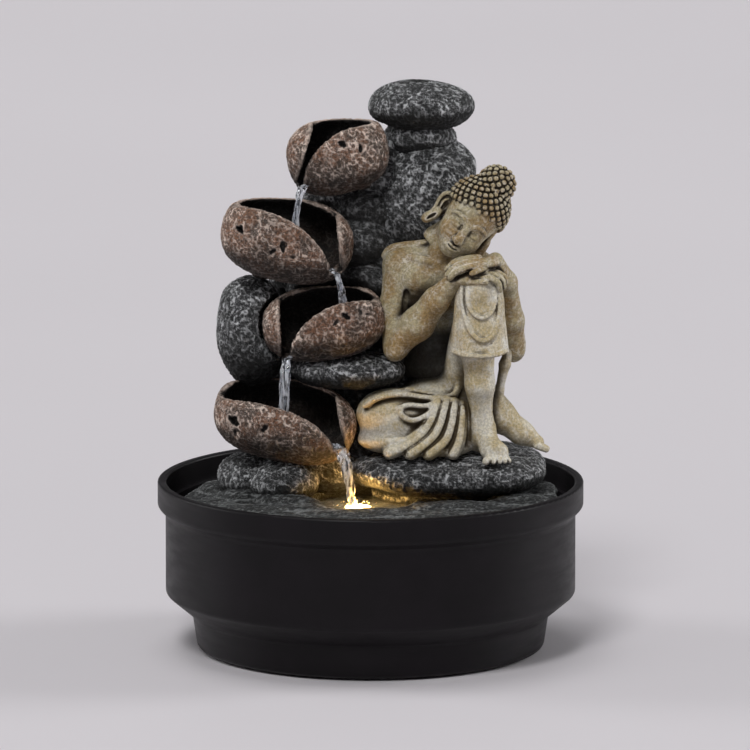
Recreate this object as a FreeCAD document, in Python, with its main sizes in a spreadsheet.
import FreeCAD, Part
import Sketcher
import os
import re

# Tabletop water fountain: a moulded bowl, a stone sculpture that lifts out of it, and a submersible pump.
# Millimetres. Origin: bottom centre, on the surface that the foot pads stand on. +Z up, the front faces -Y.

Vector = FreeCAD.Vector
Rotation = FreeCAD.Rotation
Placement = FreeCAD.Placement

X_AXIS = Vector(1, 0, 0)
Y_AXIS = Vector(0, 1, 0)
Z_AXIS = Vector(0, 0, 1)

doc = FreeCAD.newDocument("tabletop_water_fountain")
sheet = doc.addObject("Spreadsheet::Sheet", "Dimensions")

# ---------------------------------------------------------------- driving dimensions

DIMENSIONS = {
    # bowl: outside radii, the proud rim, the stepped foot and the anti-slip pads
    "rim_radius": 105, "rim_wall": 4.3, "rim_depth": 12, "rim_slope": 4, "bowl_radius": 101.1, "bowl_wall": 3,
    "bowl_top": 84, "foot_radius": 85.5, "foot_top_radius": 88, "foot_top": 17.5, "step_top": 28.5,
    "floor_thick": 3.5, "step_rounding": 3, "rim_rounding": 1.2,
    "pad_radius": 8, "pad_thick": 2, "pad_proud": 1, "pad_circle": 68,
    # deck: a disc at the front, drawn in to an ellipse at the back
    "deck_radius": 97.5, "deck_top": 79.5, "deck_thick": 7, "deck_middle": -25, "deck_side": 92,
    "deck_back": 58, "deck_margin": 4, "leg_radius": 6, "pool_radius": 25, "pool_depth": 4.5, "pool_x": -3, "pool_y": -30,
    # light under the pool
    "led_radius": 8.5, "led_tall": 12, "led_wall": 1.5, "led_x": -6, "led_y": -36, "lens_radius": 6,
    "lens_proud": 2, "lens_proud_round": 1.6, "lens_tall": 7.5, "gasket_thick": 1, "board_thick": 1.2,
    # water way
    "tube_radius": 5.5, "tube_bore": 4, "tube_x": -28, "tube_y": 30, "tube_low": 43, "tube_top": 236,
    "elbow_radius": 6.8, "elbow_bore": 4, "elbow_drop": 8, "elbow_level": 245, "elbow_reach": 12.5, "channel_gap": 0.5,
    # pump: the chamber is under the tube, the motor runs off along +X
    "pump_long": 46, "pump_wide": 34, "pump_tall": 30, "pump_wall": 2, "pump_floor": 8,
    "chamber_radius": 12, "chamber_long": 9, "sleeve_bore": 7.5, "sleeve_wall": 1.2, "sleeve_long": 22,
    "cover_thick": 5, "cover_wall": 1.5, "nozzle_top": 54, "nozzle_fit": 0.08, "slot_wide": 2,
    "slot_tall": 16, "shaft_radius": 1, "magnet_radius": 6.8, "magnet_long": 19, "wheel_radius": 11,
    "wheel_long": 5, "wheel_hub": 4, "blade_thick": 1.2, "bush_radius": 3, "bush_long": 2.5,
    "running_gap": 0.05, "core_block": 14, "core_leg": 9, "coil_thick": 6, "slider_tall": 20,
    "slider_wide": 12, "slider_thick": 1.4, "slider_rail": 2, "slider_travel": 6, "suction_radius": 5, "suction_tall": 3.5,
    # stones: cup walls, the glue line between neighbours
    "cup_wall": 3.5, "cup_raise": 4, "spout_wide": 7, "glue_gap": 0.2, "ball_proud": 0.3,
}

# Each stone: centre x, y, z, half sizes along its own x, y, z, then its turn about Z and its tilt about Y.
STONES = {
    "cup_1": (-16, 3, 246, 25, 18, 19, 0, -14),
    "cup_2": (-41, -6, 205.5, 32.5, 24, 20.5, 0, 12),
    "cup_3": (-23, -10, 164.5, 30, 22, 18, 0, -8),
    "cup_4": (-42, -15, 117, 35, 27, 20, 0, 12),
    "cap_stone": (25, 24, 267, 26, 23, 12.5, 0, 0),
    "neck_stone": (24, 25, 250, 17, 16, 9, 0, 0),
    "back_boulder": (27, 23, 218, 24, 24, 33, 0, 24),
    "side_boulder": (-52, 2, 158, 23, 25, 27, 0, 0),
    "ledge_stone": (-11, -6, 140, 28, 20, 8.5, 0, 0),
    "base_stone_left": (-61, -11, 87, 14, 18, 12, 0, 0),
    "base_stone_middle": (-44, -18, 88, 17, 22, 10, 0, 0),
    "base_stone_right": (-20, -4, 90, 15, 14, 12, 0, 0),
    "seat_rock": (38, 0, 88, 47, 43, 14, 0, 0),
}

# Each cup is cut level at its rim, and notched at the front down to its spout:
# rim height, spout x, spout z, the notch's left and right x at the rim.
CUPS = {
    "cup_1": (262, -33, 231, -31, 0),
    "cup_2": (223, -17.5, 191, -52, -16),
    "cup_3": (180, -41.5, 151, -44, -12),
    "cup_4": (134, -15, 105, -58, -16),
}

# The rock column behind the cups: ellipse centres x, y, heights, half widths and half depths.
COLUMN = {
    "column_1": (-6, 22, 79.5, 51, 33),
    "column_2": (-10, 24, 125, 50, 31),
    "column_3": (-8, 26, 170, 44, 29),
    "column_4": (-2, 28, 215, 37, 25),
    "column_5": (-2, 31, 252, 33, 20),
}

# Points of the seated figure: x, y, z.
FIGURE_POINTS = {
    "head": (45.5, -12, 213), "crown": (68, -6, 229), "neck": (35, -6, 197),
    "chest": (29, 0, 180), "waist": (31, 2, 150), "hips": (36, 0, 125),
    "right_shoulder": (10, 2, 190), "right_elbow": (17, -13, 156), "right_wrist": (40, -26, 188),
    "left_shoulder": (56, 2, 188), "left_elbow": (71, -6, 151), "left_wrist": (62, -22, 191),
    "raised_hip": (46, 0, 122), "raised_knee": (54, -25, 180), "raised_ankle": (55, -24, 112),
    "raised_toes": (62, -36, 103), "folded_knee": (8, -13, 115), "folded_ankle": (62, -3, 108),
    "foot_ankle": (62, -6, 108), "folded_toes": (84, -4, 103),
}

# Limbs of the figure: from a point, to a point, half thickness at each.
FIGURE_LIMBS = {
    "skull": ("head", "crown", 16, 9), "throat": ("neck", "head", 9, 10),
    "upper_body": ("chest", "waist", 21, 18), "lower_body": ("waist", "hips", 18.2, 21),
    "shoulders": ("right_shoulder", "left_shoulder", 10, 10.5),
    "right_upper_arm": ("right_shoulder", "right_elbow", 8.5, 7.5),
    "right_forearm": ("right_elbow", "right_wrist", 7.4, 5.5),
    "left_upper_arm": ("left_shoulder", "left_elbow", 8.6, 7.6),
    "left_forearm": ("left_elbow", "left_wrist", 7.5, 5.6),
    "raised_thigh": ("raised_hip", "raised_knee", 15, 12),
    "raised_shin": ("raised_knee", "raised_ankle", 12.1, 7),
    "raised_foot": ("raised_ankle", "raised_toes", 7.1, 4.5),
    "folded_foot": ("foot_ankle", "folded_toes", 6.5, 4.5),
    "folded_leg": ("folded_knee", "folded_ankle", 12.5, 10),
}
LEGS = {"leg_1": (-66, -32), "leg_2": (66, -32), "leg_3": (-64, 8), "leg_4": (54, 16)}


def fill_sheet():
    """One row for each value: its name, the number, and the name as the number's alias."""
    rows = dict(DIMENSIONS)
    stone_words = ("x", "y", "z", "half_x", "half_y", "half_z", "turn", "tilt")
    cup_words = ("rim", "spout_x", "spout_z", "notch_left", "notch_right")
    tables = (
        (STONES, stone_words), (CUPS, cup_words), (COLUMN, ("x", "y", "z", "half_x", "half_y")),
        (FIGURE_POINTS, ("x", "y", "z")), (LEGS, ("x", "y")),
    )
    for table, words in tables:
        for name, numbers in table.items():
            rows.update({f"{name}_{word}": number for word, number in zip(words, numbers)})
    for name, (start, end, *thicks) in FIGURE_LIMBS.items():
        rows.update({f"{name}_start": thicks[0], f"{name}_end": thicks[1]})
    for row, (alias, number) in enumerate(rows.items(), start=1):
        sheet.set(f"A{row}", alias)
        sheet.set(f"B{row}", str(number))
        sheet.setAlias(f"B{row}", alias)
    doc.recompute()


def value(alias):
    return float(sheet.get(alias))


def point(name):
    return Vector(*(value(f"{name}_{axis}") for axis in "xyz"))


def rebuild():
    """Recompute, and stop if any object failed."""
    doc.recompute()
    failed = [thing for thing in doc.Objects if {"Invalid", "Error"}.intersection(thing.State)]
    for thing in failed:
        print(f"{thing.Name} ({thing.Label}) failed: {thing.State} {thing.getStatusString()}")
    if failed:
        raise SystemExit("some objects failed to recompute")


# ---------------------------------------------------------------- small builders

def bind(thing, formulas):
    """Bind properties to the sheet. In a formula, every word is a cell's alias."""
    for prop, formula in formulas.items():
        text = re.sub(r"[a-z][a-z_0-9]*", lambda word: "Dimensions." + word.group(0), str(formula))
        thing.setExpression(prop, text)
    return thing


def place(thing, x, y, z, rotation=Rotation()):
    thing.Placement = Placement(Vector(), rotation)
    return bind(thing, {"Placement.Base.x": x, "Placement.Base.y": y, "Placement.Base.z": z})


def box(name, size, corner, rotation=Rotation()):
    thing = doc.addObject("Part::Box", name)
    bind(thing, dict(zip(("Length", "Width", "Height"), size)))
    return place(thing, *corner, rotation)


def cylinder(name, radius, height, base, rotation=Rotation()):
    thing = doc.addObject("Part::Cylinder", name)
    bind(thing, {"Radius": radius, "Height": height})
    return place(thing, *base, rotation)


ALONG_X = Rotation(Y_AXIS, 90)
ALONG_MINUS_Y = Rotation(X_AXIS, 90)


def fuse(name, pieces):
    thing = doc.addObject("Part::MultiFuse", name)
    thing.Shapes = pieces
    return thing


def fuse_in_turn(name, pieces):
    """Join the pieces one after another, which suits long chains of curved pieces."""
    whole = pieces[0]
    for piece in pieces[1:]:
        thing = doc.addObject("Part::Fuse", f"{name}_with_{piece.Name}")
        thing.Base = whole
        thing.Tool = piece
        whole = thing
    return whole


def cut(name, base, *tools):
    """Cut the tools away one after another."""
    for index, tool in enumerate(tools, start=1):
        thing = doc.addObject("Part::Cut", name if index == len(tools) else f"{name}_less_{tool.Name}")
        thing.Base = base
        thing.Tool = tool
        base = thing
    return base


def common(name, first, second):
    thing = doc.addObject("Part::Common", name)
    thing.Base = first
    thing.Tool = second
    return thing


def fillet(name, base, radius, chooser):
    """Round the edges for which chooser is true. The radius is a cell's alias."""
    doc.recompute()
    thing = doc.addObject("Part::Fillet", name)
    thing.Base = base
    size = value(radius)
    numbered = enumerate(base.Shape.Edges, start=1)
    thing.Edges = [(number, size, size) for number, edge in numbered if chooser(edge)]
    return thing


def body_sketch(body, name, plane):
    sketch = body.newObject("Sketcher::SketchObject", name)
    origin = next(part for part in body.Origin.OriginFeatures if part.Role == plane)
    sketch.AttachmentSupport = (origin, [""])
    sketch.MapMode = "FlatFace"
    return sketch


def outline(sketch, corners):
    """A closed outline of straight lines. Each corner is two formulas, and each is bound to the sheet."""
    count = len(corners)
    for index in range(count):
        here = Vector(index + 1, index * index + 1, 0)
        there = Vector((index + 1) % count + 1, ((index + 1) % count) ** 2 + 1, 0)
        sketch.addGeometry(Part.LineSegment(here, there), False)
    for index in range(count):
        sketch.addConstraint(Sketcher.Constraint("Coincident", index, 2, (index + 1) % count, 1))
    for index, corner in enumerate(corners):
        for kind, formula in zip(("DistanceX", "DistanceY"), corner):
            row = sketch.addConstraint(Sketcher.Constraint(kind, -1, 1, index, 1, 1.0))
            bind(sketch, {f"Constraints[{row}]": formula})


def revolved_body(name, corners):
    """A PartDesign body: an outline in the XZ plane, turned all the way round the Z axis."""
    body = doc.addObject("PartDesign::Body", name)
    sketch = body_sketch(body, f"{name}_profile", "XZ_Plane")
    outline(sketch, corners)
    turned = body.newObject("PartDesign::Revolution", f"{name}_turned")
    turned.Profile = sketch
    turned.ReferenceAxis = (sketch, ["V_Axis"])
    turned.Angle = 360
    doc.recompute()
    return body


SUB_PARTS = {}


def keep(name, thing):
    """Name a finished sub-part. Its label names its file."""
    thing.Label = name
    SUB_PARTS[name] = thing
    return thing


# ---------------------------------------------------------------- bowl and its pads

def make_bowl():
    corners = [
        ("0", "pad_proud"), ("foot_radius", "pad_proud"), ("foot_top_radius", "foot_top"),
        ("bowl_radius", "step_top"), ("bowl_radius", "bowl_top - rim_depth - rim_slope"),
        ("rim_radius", "bowl_top - rim_depth"), ("rim_radius", "bowl_top"),
        ("rim_radius - rim_wall", "bowl_top"), ("rim_radius - rim_wall", "bowl_top - rim_depth"),
        ("bowl_radius - bowl_wall", "bowl_top - rim_depth"),
        ("bowl_radius - bowl_wall", "step_top + bowl_wall/2"),
        ("foot_top_radius - bowl_wall", "foot_top + bowl_wall/2"),
        ("foot_radius - bowl_wall", "pad_proud + floor_thick"), ("0", "pad_proud + floor_thick"),
    ]
    body = revolved_body("bowl_body", corners)
    height = value("bowl_top")

    def at_rim(edge):
        return edge.BoundBox.ZMin > height - 0.01

    steps = (
        (value("foot_radius"), value("pad_proud")), (value("foot_top_radius"), value("foot_top")),
        (value("bowl_radius"), value("step_top")),
        (value("bowl_radius"), height - value("rim_depth") - value("rim_slope")),
        (value("rim_radius"), height - value("rim_depth")),
    )

    def at_step(edge):
        bounds = edge.BoundBox
        level = bounds.ZLength < 0.01
        return level and any(abs(bounds.XMax - r) + abs(bounds.ZMax - z) < 0.02 for r, z in steps)

    recesses = [
        cylinder(f"pad_recess_{index}", "pad_radius + 0.1", "pad_thick", pad_spot(index))
        for index in range(1, 5)
    ]
    stepped = fillet("bowl_stepped", body, "step_rounding", at_step)
    rounded = fillet("bowl_rounded", stepped, "rim_rounding", at_rim)
    keep("bowl", cut("bowl_shell", rounded, *recesses))


def pad_spot(index):
    """The pads stand at the corners of a square, proud of the bowl's underside."""
    side_x = 1 if index in (1, 4) else -1
    side_y = 1 if index in (1, 2) else -1
    return (f"{side_x}*pad_circle*0.7071", f"{side_y}*pad_circle*0.7071", "0")


def make_pads():
    for index in range(1, 5):
        keep(f"foot_pad_{index}", cylinder(f"pad_{index}", "pad_radius", "pad_thick", pad_spot(index)))


# ---------------------------------------------------------------- pump

# The chamber's axis runs along X, under the riser tube. Its mouth is on the -X side.
CHAMBER_X = "(tube_x - chamber_long/2 - pump_wall/2)"
AXIS_Z = "(pump_floor + pump_tall/2)"


def along_x(name, radius, length, start):
    return cylinder(name, radius, length, (start, "tube_y", AXIS_Z), ALONG_X)


def make_pump_housing():
    block = box(
        "pump_block", ("pump_long", "pump_wide", "pump_tall"),
        (CHAMBER_X, "tube_y - pump_wide/2", "pump_floor"),
    )
    doc.recompute()
    block_soft = fillet("pump_soft", block, "pump_wall", lambda edge: edge.Length > 20)
    chamber = along_x("chamber", "chamber_radius", "chamber_long", CHAMBER_X)
    motor_start = f"{CHAMBER_X} + chamber_long + pump_wall"
    motor_room = box(
        "motor_room", ("pump_long", "pump_wide - 2*pump_wall", "pump_tall - 2*pump_wall"),
        (motor_start, "tube_y - pump_wide/2 + pump_wall", "pump_floor + pump_wall"),
    )
    sleeve = along_x("sleeve", "sleeve_bore + sleeve_wall", "sleeve_long + sleeve_wall", motor_start)
    sleeve_bore = along_x("sleeve_room", "sleeve_bore", "sleeve_long + pump_wall",
                          f"{CHAMBER_X} + chamber_long - 0.1")
    spigot_base = ("tube_x", "tube_y", AXIS_Z)
    spigot = cylinder("spigot", "tube_bore - nozzle_fit", f"nozzle_top - {AXIS_Z}", spigot_base)
    spigot_bore = cylinder("spigot_bore", "tube_bore - 1.3", f"nozzle_top - {AXIS_Z} + 1", spigot_base)
    hollow = cut("pump_hollow", block_soft, motor_room)
    whole = fuse("pump_whole", [hollow, sleeve, spigot])
    keep("pump_housing", cut("pump_shell", whole, chamber, sleeve_bore, spigot_bore))


def make_pump_plates():
    back_x = f"{CHAMBER_X} + pump_long - pump_wall"
    keep("pump_back_plate", box(
        "back_plate", ("pump_wall", "pump_wide - 2*pump_wall - 0.1", "pump_tall - 2*pump_wall - 0.1"),
        (back_x, "tube_y - pump_wide/2 + pump_wall + 0.05", "pump_floor + pump_wall + 0.05"),
    ))
    cover_x = f"{CHAMBER_X} - cover_thick"
    cover = box("cover_block", ("cover_thick", "pump_wide", "pump_tall"),
                (cover_x, "tube_y - pump_wide/2", "pump_floor"))
    cover_soft = fillet("cover_soft", cover, "cover_wall", lambda edge: edge.Length < 10)
    room = along_x("cover_room", "chamber_radius", "cover_thick", f"{cover_x} + cover_wall")
    slots = [
        box(f"intake_slot_{index}", ("cover_thick", "slot_wide", "slot_tall"),
            (f"{cover_x} - 1", f"tube_y + {index}*2*slot_wide - slot_wide/2", f"{AXIS_Z} - slot_tall/2"))
        for index in range(-2, 3)
    ]
    keep("pump_front_cover", cut("cover_shell", cover_soft, room, *slots))


def make_motor():
    motor_start = f"{CHAMBER_X} + chamber_long + pump_wall"
    block = box("core_plates", ("core_block", "pump_wide - 3*pump_wall", "pump_tall - 3*pump_wall"),
                (f"{motor_start} + 2", "tube_y - pump_wide/2 + 1.5*pump_wall", "pump_floor + 1.5*pump_wall"))
    leg_start = f"{motor_start} + sleeve_long + sleeve_wall + 1.2"
    bars = [
        box(f"core_bar_{index}", ("sleeve_long + 1", "core_leg/2", "core_leg"),
            (f"{motor_start} + 2", f"tube_y {sign} (pump_wide/2 - 1.5*pump_wall - core_leg/4) - core_leg/4",
             f"{AXIS_Z} - core_leg/2"))
        for index, sign in enumerate(("-", "+"), start=1)
    ]
    bore = along_x("core_bore", "sleeve_bore + sleeve_wall + 0.1", "sleeve_long*2", motor_start)
    bridge = box("core_bridge", ("core_leg/2", "pump_wide - 3*pump_wall", "core_leg"),
                 (leg_start, "tube_y - pump_wide/2 + 1.5*pump_wall", f"{AXIS_Z} - core_leg/2"))
    core = cut("core_bored", fuse("core_joined", [block] + bars), bore)
    keep("stator_core", fuse("core_whole", [core, bridge]))
    coil = box("coil_block", ("core_leg/2 + coil_thick/3", "core_leg*1.6", "pump_tall - 3*pump_wall"),
               (f"{leg_start} - coil_thick/6", "tube_y - core_leg*0.8", "pump_floor + 1.5*pump_wall"))
    window = box("coil_window", ("core_leg/2 + 0.1", "core_leg*2", "core_leg + 0.1"),
                 (f"{leg_start} - 0.05", "tube_y - core_leg", f"{AXIS_Z} - core_leg/2 - 0.05"))
    keep("stator_coil", cut("coil_whole", coil, window))


def make_impeller():
    chamber_back = f"{CHAMBER_X} + chamber_long"
    shaft_end = f"{chamber_back} + pump_wall + sleeve_long"
    front_bush_x = f"{CHAMBER_X} - cover_thick + cover_wall"
    bush_names = ("shaft_bush_front", "shaft_bush_rear")
    bush_starts = (front_bush_x, f"{shaft_end} - bush_long - 0.1")
    for name, start in zip(bush_names, bush_starts):
        ring = along_x(f"{name}_ring", "bush_radius", "bush_long", start)
        hole = along_x(f"{name}_hole", "shaft_radius", "bush_long*2", f"{start} - 1")
        keep(name, cut(f"{name}_cut", ring, hole))
    keep("impeller_shaft", along_x("shaft", "shaft_radius", f"{shaft_end} - 0.1 - ({front_bush_x})",
                                   front_bush_x))
    clear_bore = "shaft_radius + running_gap"
    magnet_start = f"{chamber_back} + 0.5"
    magnet = along_x("magnet", "magnet_radius", "magnet_long", magnet_start)
    magnet_bore = along_x("magnet_bore", clear_bore, "magnet_long*2", f"{magnet_start} - 5")
    keep("rotor_magnet", cut("magnet_bored", magnet, magnet_bore))
    # the blades stop clear of the chamber's back wall, and the hub goes on to meet the magnet
    wheel_start = f"{chamber_back} - wheel_long - 0.4"
    hub = along_x("wheel_hub_block", "wheel_hub", "wheel_long + 0.9", wheel_start)
    blades = [
        box(f"blade_{index}", ("wheel_long", "2*wheel_radius", "blade_thick"),
            (wheel_start, "tube_y", AXIS_Z), Rotation(X_AXIS, 60 * index))
        for index in range(3)
    ]
    for index, blade in enumerate(blades):
        centre_blade(blade, 60 * index)
    wheel_bore = along_x("wheel_bore", clear_bore, "wheel_long*2", f"{wheel_start} - 1")
    keep("impeller_wheel", cut("wheel_bored", fuse("wheel_whole", [hub] + blades), wheel_bore))


def centre_blade(blade, angle):
    """Shift a blade pair's corner so that the pair is centred on the shaft's axis."""
    half = Vector(0, -value("wheel_radius"), -value("blade_thick") / 2)
    shift = Rotation(X_AXIS, angle).multVec(half)
    bind(blade, {
        "Placement.Base.y": f"tube_y + ({shift.y})",
        "Placement.Base.z": f"{AXIS_Z} + ({shift.z})",
    })


def make_slider():
    """The flow regulator: a small plate with a thumb tab, sliding up the intake cover."""
    face_x = f"{CHAMBER_X} - cover_thick - slider_thick - 0.1"
    plate = box("slider_plate", ("slider_thick", "slider_wide", "slider_tall - slider_travel"),
                (face_x, "tube_y - slider_wide/2", "pump_floor + 2"))
    tab = box("slider_tab", ("slider_thick*2", "slider_wide/2", "slider_thick"),
              (f"{face_x} - slider_thick*2", "tube_y - slider_wide/4", f"{AXIS_Z} - slider_travel"))
    keep("flow_slider", fuse("slider_whole", [plate, tab]))
    for index, side in enumerate((-1, 1), start=1):
        rail = box(f"rail_{index}_bar", ("slider_thick + 0.1", "slider_rail", "slider_tall + 4"),
                   (f"{face_x}", f"tube_y + {side}*(slider_wide/2 + slider_rail/2 + 0.1) - slider_rail/2",
                    "pump_floor + 2"))
        keep(f"slider_rail_{index}", rail)


def make_suction_cups():
    """Four soft cones between the pump's underside and the bowl's floor."""
    spots = [(side_x, side_y) for side_x in (0.2, 0.8) for side_y in (-0.28, 0.28)]
    for index, (along, across) in enumerate(spots, start=1):
        cone = doc.addObject("Part::Cone", f"suction_cone_{index}")
        bind(cone, {"Radius1": "suction_radius", "Radius2": "suction_radius*0.6",
                    "Height": "pump_floor - floor_thick - pad_proud"})
        place(cone, f"{CHAMBER_X} + pump_long*{along}", f"tube_y + pump_wide*{across}",
              "floor_thick + pad_proud")
        keep(f"suction_cup_{index}", cone)


# ---------------------------------------------------------------- water way

def make_water_way():
    spot = ("tube_x", "tube_y", "tube_low")
    tube = cylinder("tube_wall", "tube_radius", "tube_top - tube_low", spot)
    bore = cylinder("tube_room", "tube_bore", "tube_top - tube_low + 2", ("tube_x", "tube_y", "tube_low - 1"))
    keep("riser_tube", cut("tube_whole", tube, bore))
    drop = ("tube_x", "tube_y", "tube_top - elbow_drop")
    upright = cylinder("elbow_upright", "elbow_radius + glue_gap", "elbow_level - tube_top + elbow_drop", drop)
    corner = doc.addObject("Part::Sphere", "elbow_corner")
    bind(corner, {"Radius": "elbow_radius + glue_gap"})
    place(corner, "tube_x", "tube_y", "elbow_level")
    level = ("tube_x", "tube_y", "elbow_level")
    arm = cylinder("elbow_arm", "elbow_radius - 1.2", "elbow_reach", level, ALONG_MINUS_Y)
    socket = cylinder("elbow_socket", "tube_radius + 0.05", "elbow_drop",
                      ("tube_x", "tube_y", "tube_top - elbow_drop"))
    rise = cylinder("elbow_rise", "elbow_bore", "elbow_level - tube_top + elbow_drop", drop)
    run = cylinder("elbow_run", "elbow_bore", "elbow_reach + 1", level, ALONG_MINUS_Y)
    whole = fuse("elbow_whole", [upright, corner, arm])
    keep("outlet_elbow", cut("elbow_bored", whole, socket, rise, run))


def water_way_room(gap):
    """The space that the tube and its elbow take up, grown by a gap: a formula."""
    tube = cylinder("tube_channel", f"tube_radius + {gap}", "tube_top - tube_low",
                    ("tube_x", "tube_y", "tube_low"))
    upright = cylinder("elbow_channel", f"elbow_radius + glue_gap + {gap}",
                       "elbow_level - tube_top + elbow_drop + elbow_radius + glue_gap + 1",
                       ("tube_x", "tube_y", "tube_top - elbow_drop - 0.5"))
    arm = cylinder("arm_channel", f"elbow_radius - 1.2 + {gap}", "elbow_reach + 2",
                   ("tube_x", "tube_y", "elbow_level"), ALONG_MINUS_Y)
    return [tube, upright, arm]


# ---------------------------------------------------------------- stones

def ellipsoid(name, stone, grow="0"):
    """A stone's ellipsoid, grown all round by a formula."""
    thing = doc.addObject("Part::Ellipsoid", name)
    bind(thing, {
        "Radius1": f"{stone}_half_z + {grow}", "Radius2": f"{stone}_half_x + {grow}",
        "Radius3": f"{stone}_half_y + {grow}",
    })
    turn = Rotation(Z_AXIS, value(f"{stone}_turn")).multiply(Rotation(Y_AXIS, value(f"{stone}_tilt")))
    return place(thing, f"{stone}_x", f"{stone}_y", f"{stone}_z", turn)


def cup_notch(cup):
    """The V-shaped notch through a cup's front wall, from its rim down to its spout."""
    wedge = doc.addObject("Part::Wedge", f"{cup}_notch")
    depth = f"{cup}_half_y + 4"
    bind(wedge, {
        "Xmin": f"{cup}_spout_x - spout_wide/2", "Xmax": f"{cup}_spout_x + spout_wide/2",
        "X2min": f"{cup}_notch_left", "X2max": f"{cup}_notch_right",
        "Ymin": "0", "Ymax": f"{cup}_rim - {cup}_spout_z + 0.1",
        "Zmin": "0", "Zmax": depth, "Z2min": "0", "Z2max": depth,
    })
    return place(wedge, "0", f"{cup}_y - 1", f"{cup}_spout_z", ALONG_MINUS_Y)


def cup_shape(cup):
    outer = ellipsoid(f"{cup}_outer", cup)
    inner = doc.addObject("Part::Ellipsoid", f"{cup}_inner")
    bind(inner, {
        "Radius1": f"{cup}_half_z - cup_wall", "Radius2": f"{cup}_half_x - cup_wall",
        "Radius3": f"{cup}_half_y - cup_wall",
    })
    place(inner, f"{cup}_x", f"{cup}_y", f"{cup}_z + cup_raise/2", Rotation(Y_AXIS, value(f"{cup}_tilt")))
    above = box(f"{cup}_above", (f"4*{cup}_half_x", f"4*{cup}_half_y", f"{cup}_half_z*2"),
                (f"{cup}_x - 2*{cup}_half_x", f"{cup}_y - 2*{cup}_half_y", f"{cup}_rim"))
    return cut(f"{cup}_hollowed", outer, inner, above, cup_notch(cup))


def column(name, grow="0"):
    """A loft through the column's ellipses."""
    sections = []
    for section in COLUMN:
        ring = doc.addObject("Part::Ellipse", f"{name}_{section}")
        bind(ring, {"MajorRadius": f"{section}_half_x + {grow}", "MinorRadius": f"{section}_half_y + {grow}"})
        sections.append(place(ring, f"{section}_x", f"{section}_y", f"{section}_z"))
    loft = doc.addObject("Part::Loft", name)
    loft.Sections = sections
    loft.Solid = True
    return loft


def figure(name, grow="0"):
    """The seated figure: a cone for each limb, with a ball a little proud at each of its ends."""
    pieces = []
    for limb, (start, end, *_) in FIGURE_LIMBS.items():
        run = point(end) - point(start)
        cone = doc.addObject("Part::Cone", f"{name}_{limb}")
        bind(cone, {"Radius1": f"{limb}_start + {grow}", "Radius2": f"{limb}_end + {grow}"})
        cone.Height = run.Length
        place(cone, f"{start}_x", f"{start}_y", f"{start}_z", Rotation(Z_AXIS, run))
        pieces.append(cone)
        for joint, side in ((start, "start"), (end, "end")):
            ball = doc.addObject("Part::Sphere", f"{name}_{limb}_{side}_ball")
            bind(ball, {"Radius": f"{limb}_{side} + ball_proud + {grow}"})
            pieces.append(place(ball, f"{joint}_x", f"{joint}_y", f"{joint}_z"))
    return fuse_in_turn(name, pieces)


def deck_outline(name, low, high):
    """The deck's plan: a disc in front, an ellipse behind, and a tongue under the rock column."""
    disc = cylinder(f"{name}_disc", "deck_radius", f"{high} - ({low})", ("0", "0", low))
    front = box(f"{name}_front", ("2*deck_radius + 8", "deck_radius", f"{high} - ({low})"),
                ("-deck_radius - 4", "deck_middle - deck_radius", low))
    ring = doc.addObject("Part::Ellipse", f"{name}_ring")
    bind(ring, {"MajorRadius": "deck_side", "MinorRadius": "deck_back"})
    place(ring, "0", "deck_middle", low)
    tongue = doc.addObject("Part::Ellipse", f"{name}_tongue")
    bind(tongue, {"MajorRadius": "column_1_half_x + deck_margin", "MinorRadius": "column_1_half_y + deck_margin"})
    place(tongue, "column_1_x", "column_1_y", low)
    ovals = []
    for outline_ring in (ring, tongue):
        oval = doc.addObject("Part::Extrusion", f"{outline_ring.Name}_raised")
        oval.Base = outline_ring
        oval.Dir = Z_AXIS
        oval.Solid = True
        ovals.append(bind(oval, {"LengthFwd": f"{high} - ({low})"}))
    return common(f"{name}_plan", disc, fuse(f"{name}_area", [front] + ovals))


def make_deck():
    plate = deck_outline("deck", "deck_top - deck_thick", "deck_top")
    floor = "floor_thick + pad_proud"
    legs = [
        cylinder(f"deck_{leg}", "leg_radius", f"deck_top - deck_thick/2 - ({floor})",
                 (f"{leg}_x", f"{leg}_y", floor))
        for leg in LEGS
    ]
    pool = cylinder("pool_room", "pool_radius", "pool_depth + 1",
                    ("pool_x", "pool_y", "deck_top - pool_depth"))
    lens_hole = cylinder("lens_hole", "lens_radius + 0.1", "2*deck_thick",
                         ("led_x", "led_y", "deck_top - 1.5*deck_thick"))
    whole = fuse("deck_whole", [plate] + legs)
    keep("deck_plate", cut("deck_cut", whole, pool, lens_hole, *water_way_room("channel_gap")[:1]))


def make_light():
    under = "deck_top - deck_thick"
    housing_top = f"{under} - gasket_thick"
    spot = ("led_x", "led_y")
    body = cylinder("led_body", "led_radius", "led_tall", (*spot, f"{housing_top} - led_tall"))
    room = cylinder("led_room", "led_radius - led_wall", "led_tall",
                    (*spot, f"{housing_top} - led_tall + led_wall"))
    keep("led_housing", cut("led_shell", body, room))
    ring = cylinder("gasket_ring", "led_radius", "gasket_thick", (*spot, housing_top))
    hole = cylinder("gasket_hole", "lens_radius + 0.1", "3*gasket_thick", (*spot, f"{housing_top} - 1"))
    keep("led_gasket", cut("gasket_cut", ring, hole))
    keep("led_board", cylinder("board", "led_radius - led_wall - 0.1", "board_thick",
                               (*spot, f"{housing_top} - led_tall + led_wall")))
    lens_top = "deck_top - pool_depth + lens_proud"
    lens = cylinder("lens_block", "lens_radius", "lens_tall", (*spot, f"{lens_top} - lens_tall"))
    keep("led_lens", fillet("lens_domed", lens, "lens_proud_round", lambda edge: is_ring_at(edge, lens_top)))


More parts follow.
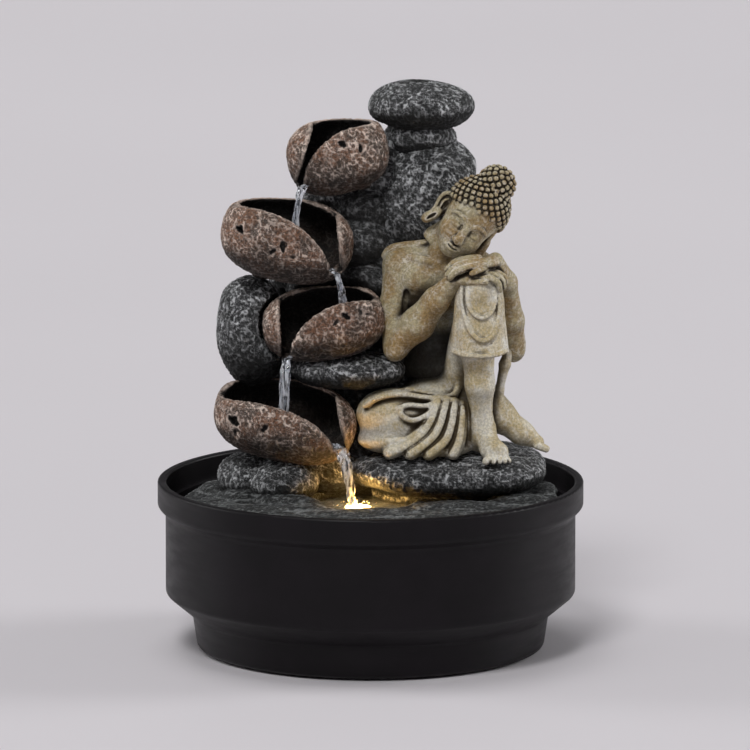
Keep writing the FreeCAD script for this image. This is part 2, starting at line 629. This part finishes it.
def is_ring_at(edge, formula):
    """True for an edge that lies level at the height that a formula of aliases gives."""
    names = re.sub(r"[a-z][a-z_0-9]*", lambda word: f"{value(word.group(0))}", formula)
    terms = names.replace(" - ", " + -").split(" + ")
    height = sum(float(term) for term in terms)
    return abs(edge.BoundBox.ZMin - height) < 0.01 and edge.BoundBox.ZLength < 0.01


def boxes_meet(first, second):
    return first.Shape.BoundBox.intersect(second.Shape.BoundBox)


def really_meet(first, second):
    return boxes_meet(first, second) and first.Shape.distToShape(second.Shape)[0] < 0.001


def make_sculpture():
    """Each stone gives way to the ones before it, across a thin line of glue."""
    rooms = water_way_room("glue_gap")
    pieces = [(stone, cup_shape(stone), ellipsoid(f"{stone}_room", stone, "glue_gap")) for stone in CUPS]
    pieces.append(("resting_figure", figure("figure_whole"), figure("figure_room", "glue_gap")))
    pieces += [plain_stone(stone) for stone in STONES if stone not in CUPS and "base" not in stone]
    pieces.append(("rock_core", column("column_whole"), column("column_room", "glue_gap")))
    pieces += [plain_stone(stone) for stone in STONES if "base" in stone]
    below = box("below_deck", ("3*rim_radius", "3*rim_radius", "deck_top"),
                ("-1.5*rim_radius", "-1.5*rim_radius", "0"))
    rebuild()
    for name, whole, room in pieces:
        tools = [tool for tool in rooms if really_meet(whole, tool)]
        if boxes_meet(whole, below):
            tools.append(below)
        keep(name, cut(f"{name}_fitted", whole, *tools))
        rooms.append(room)


def plain_stone(stone):
    return stone, ellipsoid(f"{stone}_whole", stone), ellipsoid(f"{stone}_room", stone, "glue_gap")


# ---------------------------------------------------------------- build and write


def write_parts():
    rebuild()
    os.makedirs("parts", exist_ok=True)
    for name, thing in SUB_PARTS.items():
        shape = thing.Shape
        if shape.isNull() or not shape.isValid():
            raise SystemExit(f"{name} has no valid shape")
        shape.exportStep(f"parts/{name}.step")
        print(f"{name}: {len(shape.Solids)} solid(s), {shape.Volume:.1f} mm3")


fill_sheet()
make_bowl()
make_pads()
make_pump_housing()
make_pump_plates()
make_motor()
make_impeller()
make_slider()
make_suction_cups()
make_water_way()
make_deck()
make_light()
make_sculpture()
write_parts()
